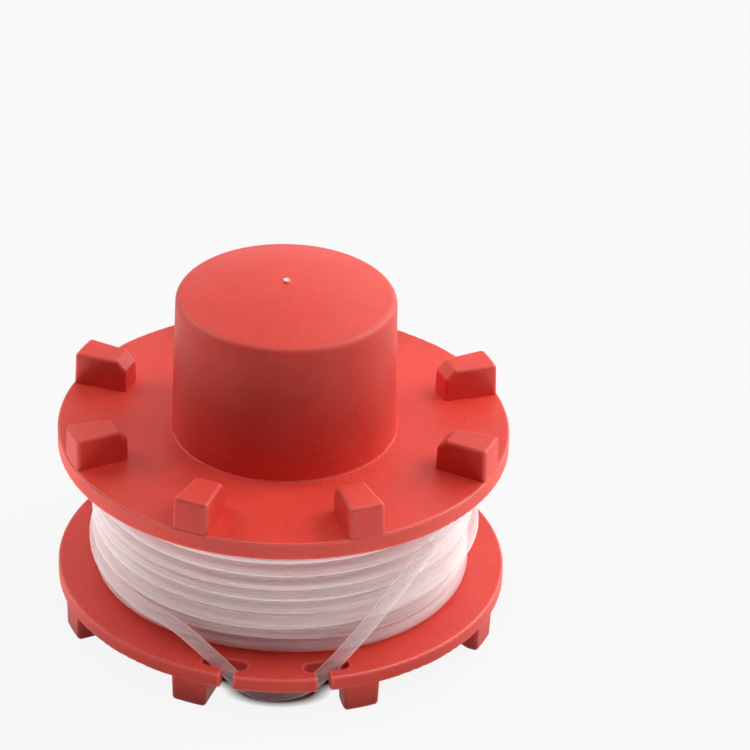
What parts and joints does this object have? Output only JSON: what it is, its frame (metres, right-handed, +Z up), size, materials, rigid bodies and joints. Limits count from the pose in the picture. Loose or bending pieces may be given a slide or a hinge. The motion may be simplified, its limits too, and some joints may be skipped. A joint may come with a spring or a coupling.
{
  "type": "trimmer line spool",
  "caption": "Moulded trimmer line spool: toothed flanges on a drum wound with clear nylon line, a domed hollow cap above, and the line's free end looped under a front tab.",
  "frame": {"origin": "on the spool's axis, in the plane of the lower teeth's tips that the spool stands on", "axes": "+Z up along the axis to the cap, -Y to the front tab that the line's end is looped under"},
  "size_m": [0.064, 0.064, 0.0518],
  "materials": {
    "red_plastic": "satin",
    "nylon_line": "translucent"
  },
  "bodies": {
    "root": {"spool": "red_plastic", "line_winding": "nylon_line", "line_tail": "nylon_line"}
  },
  "joints": []
}
